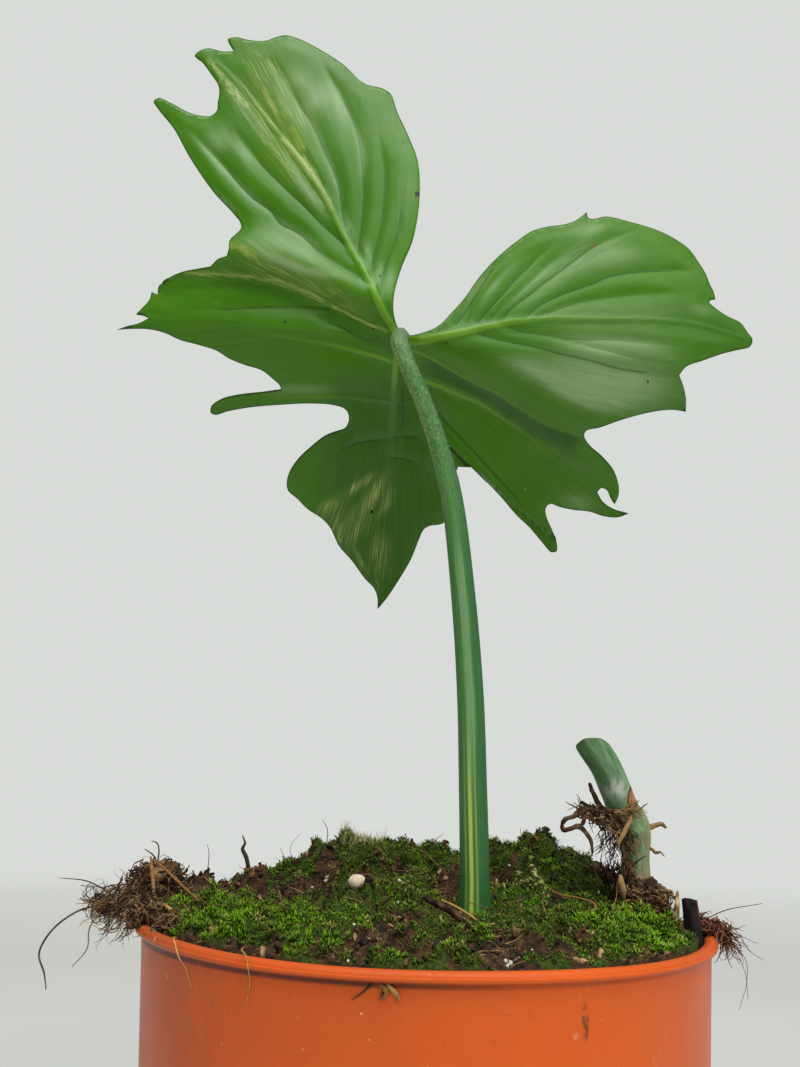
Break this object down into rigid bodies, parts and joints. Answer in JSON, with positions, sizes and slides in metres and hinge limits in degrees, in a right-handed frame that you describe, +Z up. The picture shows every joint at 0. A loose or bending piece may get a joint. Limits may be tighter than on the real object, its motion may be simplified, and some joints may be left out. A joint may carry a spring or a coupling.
{
  "type": "potted philodendron plant",
  "caption": "Small round nursery pot filled with moss over a root ball, holding one lobed leaf on a tall curved stalk and a short cut length of old vine.",
  "frame": {"origin": "centre of the pot's flat underside", "axes": "+Z up along the pot's axis, +X to the right as the leaf's underside is seen, +Y towards the back, away from the viewer"},
  "size_m": [0.1771, 0.1345, 0.3334],
  "materials": {
    "pot_plastic": "satin terracotta-coloured plastic with soil dust and scuffs",
    "potting_soil": "dark damp crumbs",
    "moss": "fine green cushion moss",
    "vine_bark": "smooth green stem with pale scars",
    "dry_roots": "matt brown fibres",
    "petiole_skin": "dark green, scurfy above and smooth below",
    "leaf": "glossy green with cream and yellow-green streaks",
    "bark": "rough dark bark",
    "dry_twig": "pale dry fibre",
    "pebble_stone": "smooth cream stone"
  },
  "bodies": {
    "root": {"pot": "pot_plastic", "soil": "potting_soil", "moss": "moss", "vine_stem": "vine_bark", "stem_roots": "dry_roots", "petiole": "petiole_skin", "leaf_blade": "leaf", "root_clump_left": "dry_roots", "root_clump_right": "dry_roots", "bark_chip": "bark", "twig_spike": "dry_twig", "stick": "bark", "straw": "dry_twig", "pebble": "pebble_stone"}
  },
  "joints": []
}
